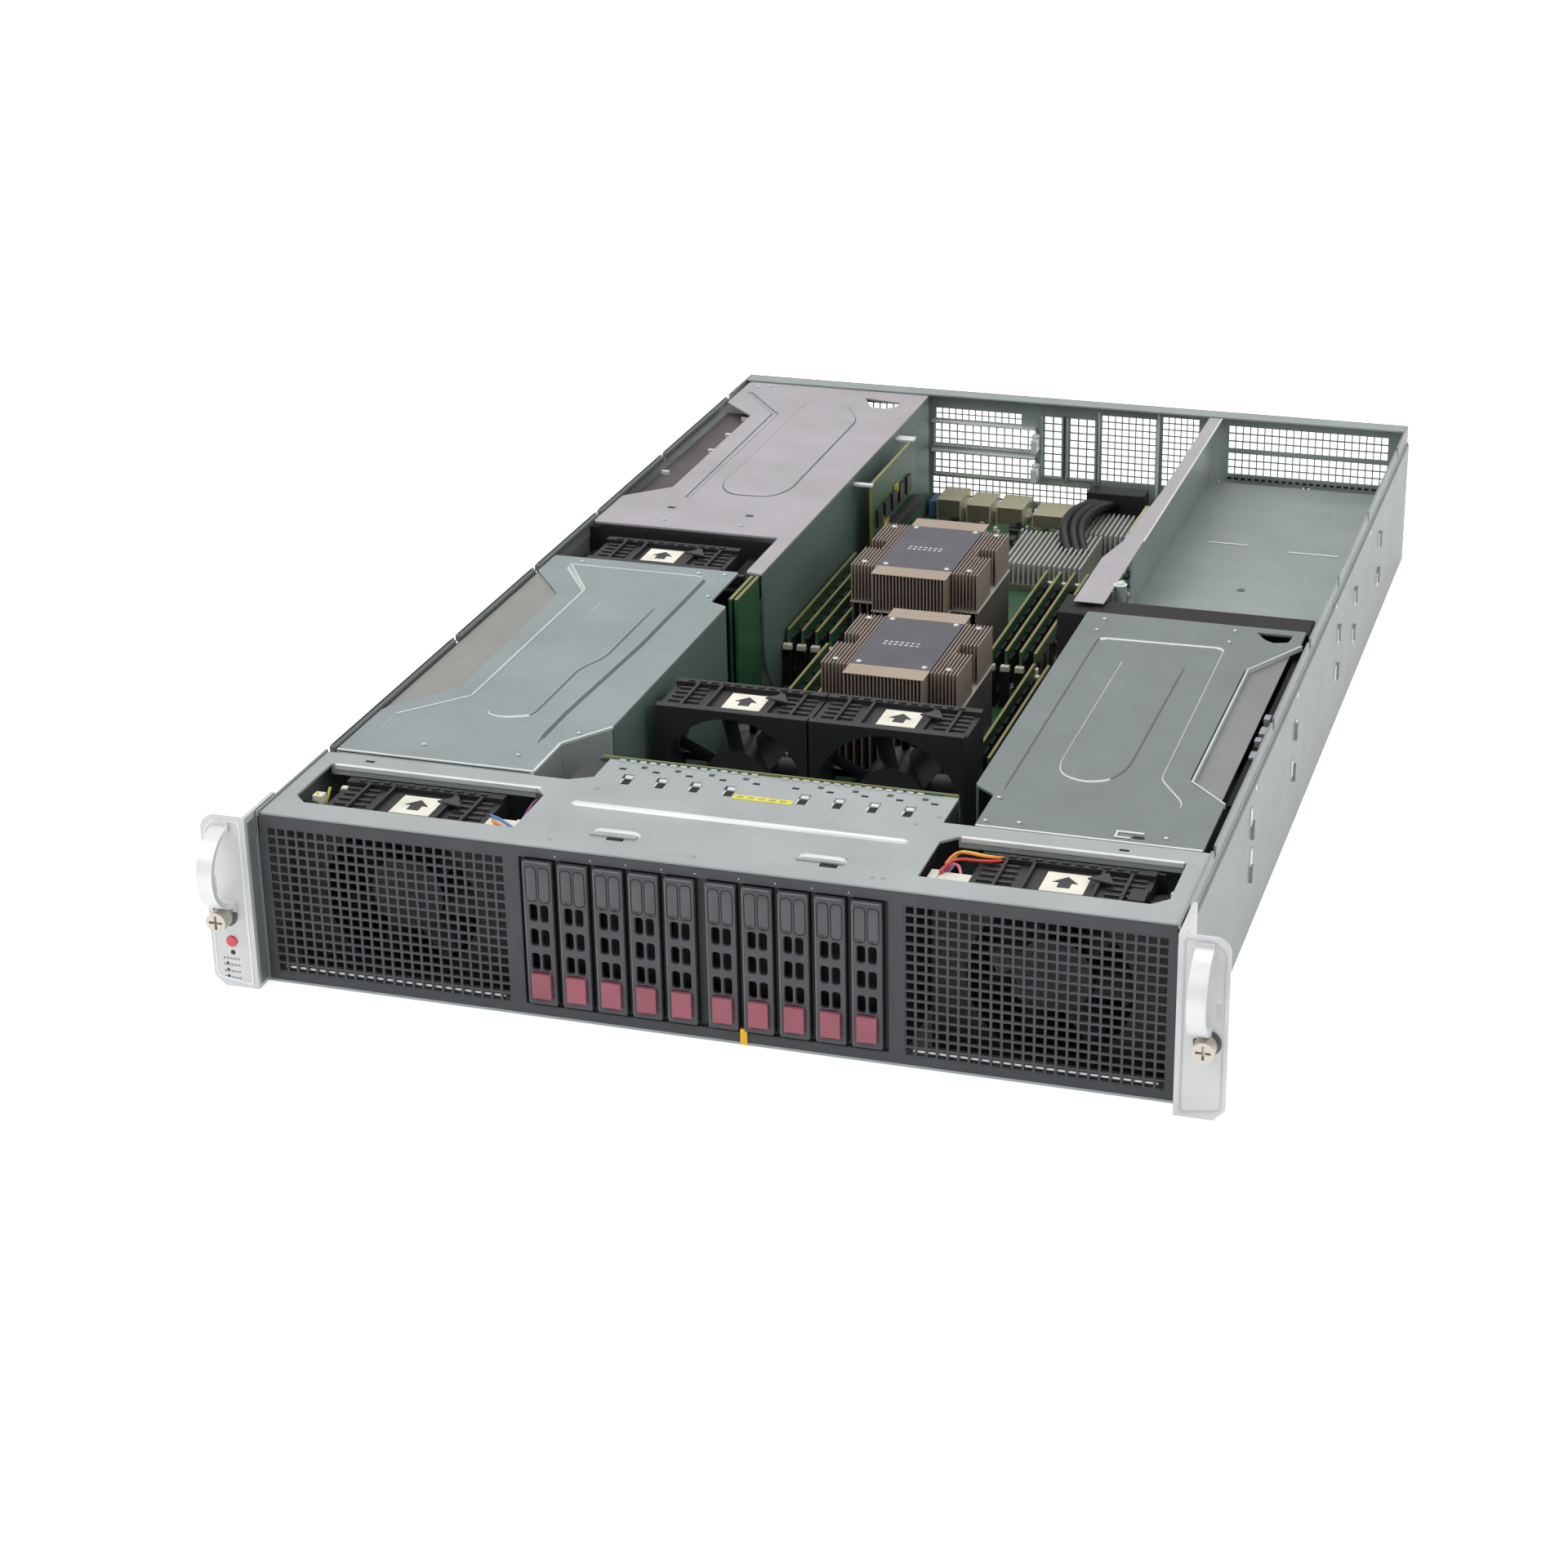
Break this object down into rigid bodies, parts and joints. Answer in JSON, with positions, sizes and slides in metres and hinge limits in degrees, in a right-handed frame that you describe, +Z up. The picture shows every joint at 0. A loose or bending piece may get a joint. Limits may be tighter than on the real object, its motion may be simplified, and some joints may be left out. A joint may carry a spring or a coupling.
{
  "type": "2u rack server",
  "caption": "two-unit rack server with its lid off: hot-swap drive carriers, side card cages, finned processor coolers, memory, fans, rack ears with handles and slide-out power supplies",
  "frame": {"origin": "centre of the bounding box at the underside of the floor pan", "axes": "+X to the right seen from the front, +Y from the front panel to the rear, +Z up"},
  "size_m": [0.4826, 0.7786, 0.088],
  "materials": {
    "zinc": "zinc plated sheet steel",
    "cover": "zinc plated sheet steel",
    "front_paint": "textured charcoal powder coat",
    "ear": "silver satin finish",
    "screw": "nickel plated",
    "carrier": "moulded plastic",
    "release": "dusty red moulded plastic",
    "power": "red moulded plastic",
    "dark_plastic": "black moulded plastic",
    "shroud": "black sheet plastic",
    "board": "solder mask",
    "fins": "mill finish",
    "socket": "cream moulded plastic",
    "connector": "moulded plastic",
    "latch": "moulded plastic",
    "lead": "sleeved leads",
    "psu": "zinc plated sheet steel"
  },
  "bodies": {
    "chassis": {"chassis_floor": "zinc", "side_wall_left": "zinc", "side_wall_right": "zinc", "rear_panel": "zinc", "drive_cage": "zinc", "cage_cover": "zinc", "card_tray": "zinc", "slot_covers": "zinc", "gpu_cage_walls": "zinc", "gpu_cover_front_left": "cover", "gpu_cover_rear_left": "cover", "gpu_cover_front_right": "cover", "front_panel": "front_paint", "ear_left": "ear", "ear_right": "ear", "handle_left": "ear", "handle_right": "ear", "drive_backplane": "board", "motherboard": "board", "memory_modules": "board", "riser_cards": "board", "heatsinks": "fins", "memory_sockets": "socket", "io_connectors": "connector", "air_shroud": "shroud", "fan_leads": "lead", "fan_housings": "dark_plastic"},
    "power_button": {"power_button": "power"},
    "reset_button": {"reset_button": "dark_plastic"},
    "thumbscrew_left": {"thumbscrew_left": "screw"},
    "thumbscrew_right": {"thumbscrew_right": "screw"},
    "fan_impeller_front_left": {"fan_impeller_front_left": "dark_plastic"},
    "fan_impeller_front_right": {"fan_impeller_front_right": "dark_plastic"},
    "fan_impeller_rear_left": {"fan_impeller_rear_left": "dark_plastic"},
    "fan_impeller_middle_left": {"fan_impeller_middle_left": "dark_plastic"},
    "fan_impeller_middle_right": {"fan_impeller_middle_right": "dark_plastic"},
    "power_supply_1": {"power_supply_1": "psu"},
    "power_supply_2": {"power_supply_2": "psu"},
    "supply_latch_1": {"supply_latch_1": "latch"},
    "supply_latch_2": {"supply_latch_2": "latch"},
    "drive_carrier_1": {"drive_carrier_1": "carrier"},
    "drive_carrier_2": {"drive_carrier_2": "carrier"},
    "drive_carrier_3": {"drive_carrier_3": "carrier"},
    "drive_carrier_4": {"drive_carrier_4": "carrier"},
    "drive_carrier_5": {"drive_carrier_5": "carrier"},
    "drive_carrier_6": {"drive_carrier_6": "carrier"},
    "drive_carrier_7": {"drive_carrier_7": "carrier"},
    "drive_carrier_8": {"drive_carrier_8": "carrier"},
    "drive_carrier_9": {"drive_carrier_9": "carrier"},
    "drive_carrier_10": {"drive_carrier_10": "carrier"},
    "release_button_1": {"release_button_1": "release"},
    "release_button_2": {"release_button_2": "release"},
    "release_button_3": {"release_button_3": "release"},
    "release_button_4": {"release_button_4": "release"},
    "release_button_5": {"release_button_5": "release"},
    "release_button_6": {"release_button_6": "release"},
    "release_button_7": {"release_button_7": "release"},
    "release_button_8": {"release_button_8": "release"},
    "release_button_9": {"release_button_9": "release"},
    "release_button_10": {"release_button_10": "release"}
  },
  "joints": [
    {"name": "carrier_1_slide", "type": "slide", "parent": "chassis", "child": "drive_carrier_1", "axis": [0, -1, 0], "range_m": [0, 0.12]},
    {"name": "release_1_press", "type": "slide", "parent": "drive_carrier_1", "child": "release_button_1", "axis": [0, 1, 0], "range_m": [0, 0.002], "stiffness_N_per_m": 300, "springref_m": -0.001},
    {"name": "carrier_2_slide", "type": "slide", "parent": "chassis", "child": "drive_carrier_2", "axis": [0, -1, 0], "range_m": [0, 0.12]},
    {"name": "release_2_press", "type": "slide", "parent": "drive_carrier_2", "child": "release_button_2", "axis": [0, 1, 0], "range_m": [0, 0.002], "stiffness_N_per_m": 300, "springref_m": -0.001},
    {"name": "carrier_3_slide", "type": "slide", "parent": "chassis", "child": "drive_carrier_3", "axis": [0, -1, 0], "range_m": [0, 0.12]},
    {"name": "release_3_press", "type": "slide", "parent": "drive_carrier_3", "child": "release_button_3", "axis": [0, 1, 0], "range_m": [0, 0.002], "stiffness_N_per_m": 300, "springref_m": -0.001},
    {"name": "carrier_4_slide", "type": "slide", "parent": "chassis", "child": "drive_carrier_4", "axis": [0, -1, 0], "range_m": [0, 0.12]},
    {"name": "release_4_press", "type": "slide", "parent": "drive_carrier_4", "child": "release_button_4", "axis": [0, 1, 0], "range_m": [0, 0.002], "stiffness_N_per_m": 300, "springref_m": -0.001},
    {"name": "carrier_5_slide", "type": "slide", "parent": "chassis", "child": "drive_carrier_5", "axis": [0, -1, 0], "range_m": [0, 0.12]},
    {"name": "release_5_press", "type": "slide", "parent": "drive_carrier_5", "child": "release_button_5", "axis": [0, 1, 0], "range_m": [0, 0.002], "stiffness_N_per_m": 300, "springref_m": -0.001},
    {"name": "carrier_6_slide", "type": "slide", "parent": "chassis", "child": "drive_carrier_6", "axis": [0, -1, 0], "range_m": [0, 0.12]},
    {"name": "release_6_press", "type": "slide", "parent": "drive_carrier_6", "child": "release_button_6", "axis": [0, 1, 0], "range_m": [0, 0.002], "stiffness_N_per_m": 300, "springref_m": -0.001},
    {"name": "carrier_7_slide", "type": "slide", "parent": "chassis", "child": "drive_carrier_7", "axis": [0, -1, 0], "range_m": [0, 0.12]},
    {"name": "release_7_press", "type": "slide", "parent": "drive_carrier_7", "child": "release_button_7", "axis": [0, 1, 0], "range_m": [0, 0.002], "stiffness_N_per_m": 300, "springref_m": -0.001},
    {"name": "carrier_8_slide", "type": "slide", "parent": "chassis", "child": "drive_carrier_8", "axis": [0, -1, 0], "range_m": [0, 0.12]},
    {"name": "release_8_press", "type": "slide", "parent": "drive_carrier_8", "child": "release_button_8", "axis": [0, 1, 0], "range_m": [0, 0.002], "stiffness_N_per_m": 300, "springref_m": -0.001},
    {"name": "carrier_9_slide", "type": "slide", "parent": "chassis", "child": "drive_carrier_9", "axis": [0, -1, 0], "range_m": [0, 0.12]},
    {"name": "release_9_press", "type": "slide", "parent": "drive_carrier_9", "child": "release_button_9", "axis": [0, 1, 0], "range_m": [0, 0.002], "stiffness_N_per_m": 300, "springref_m": -0.001},
    {"name": "carrier_10_slide", "type": "slide", "parent": "chassis", "child": "drive_carrier_10", "axis": [0, -1, 0], "range_m": [0, 0.12]},
    {"name": "release_10_press", "type": "slide", "parent": "drive_carrier_10", "child": "release_button_10", "axis": [0, 1, 0], "range_m": [0, 0.002], "stiffness_N_per_m": 300, "springref_m": -0.001},
    {"name": "fan_front_left_spin", "type": "hinge", "parent": "chassis", "child": "fan_impeller_front_left", "pos_m": [-0.156, -0.3205, 0.0412], "axis": [0, 1, 0], "continuous": true},
    {"name": "fan_front_right_spin", "type": "hinge", "parent": "chassis", "child": "fan_impeller_front_right", "pos_m": [0.156, -0.3205, 0.0412], "axis": [0, 1, 0], "continuous": true},
    {"name": "fan_rear_left_spin", "type": "hinge", "parent": "chassis", "child": "fan_impeller_rear_left", "pos_m": [-0.159, 0.0335, 0.0412], "axis": [0, 1, 0], "continuous": true},
    {"name": "fan_middle_left_spin", "type": "hinge", "parent": "chassis", "child": "fan_impeller_middle_left", "pos_m": [-0.0472, -0.1595, 0.0412], "axis": [0, 1, 0], "continuous": true},
    {"name": "fan_middle_right_spin", "type": "hinge", "parent": "chassis", "child": "fan_impeller_middle_right", "pos_m": [0.0338, -0.1595, 0.0412], "axis": [0, 1, 0], "continuous": true},
    {"name": "thumbscrew_left_turn", "type": "hinge", "parent": "chassis", "child": "thumbscrew_left", "pos_m": [-0.23255, -0.36675, 0.0377], "axis": [0, 1, 0], "continuous": true},
    {"name": "thumbscrew_right_turn", "type": "hinge", "parent": "chassis", "child": "thumbscrew_right", "pos_m": [0.23255, -0.36675, 0.0377], "axis": [0, 1, 0], "continuous": true},
    {"name": "power_press", "type": "slide", "parent": "chassis", "child": "power_button", "axis": [0, 1, 0], "range_m": [0, 0.0008], "stiffness_N_per_m": 300, "springref_m": -0.0005},
    {"name": "reset_press", "type": "slide", "parent": "chassis", "child": "reset_button", "axis": [0, 1, 0], "range_m": [0, 0.0006], "stiffness_N_per_m": 300, "springref_m": -0.0005},
    {"name": "supply_1_slide", "type": "slide", "parent": "chassis", "child": "power_supply_1", "axis": [0, 1, 0], "range_m": [0, 0.28]},
    {"name": "supply_1_latch_press", "type": "slide", "parent": "power_supply_1", "child": "supply_latch_1", "axis": [-1, 0, 0], "range_m": [0, 0.002], "stiffness_N_per_m": 300, "springref_m": -0.001},
    {"name": "supply_2_slide", "type": "slide", "parent": "chassis", "child": "power_supply_2", "axis": [0, 1, 0], "range_m": [0, 0.28]},
    {"name": "supply_2_latch_press", "type": "slide", "parent": "power_supply_2", "child": "supply_latch_2", "axis": [-1, 0, 0], "range_m": [0, 0.002], "stiffness_N_per_m": 300, "springref_m": -0.001}
  ]
}
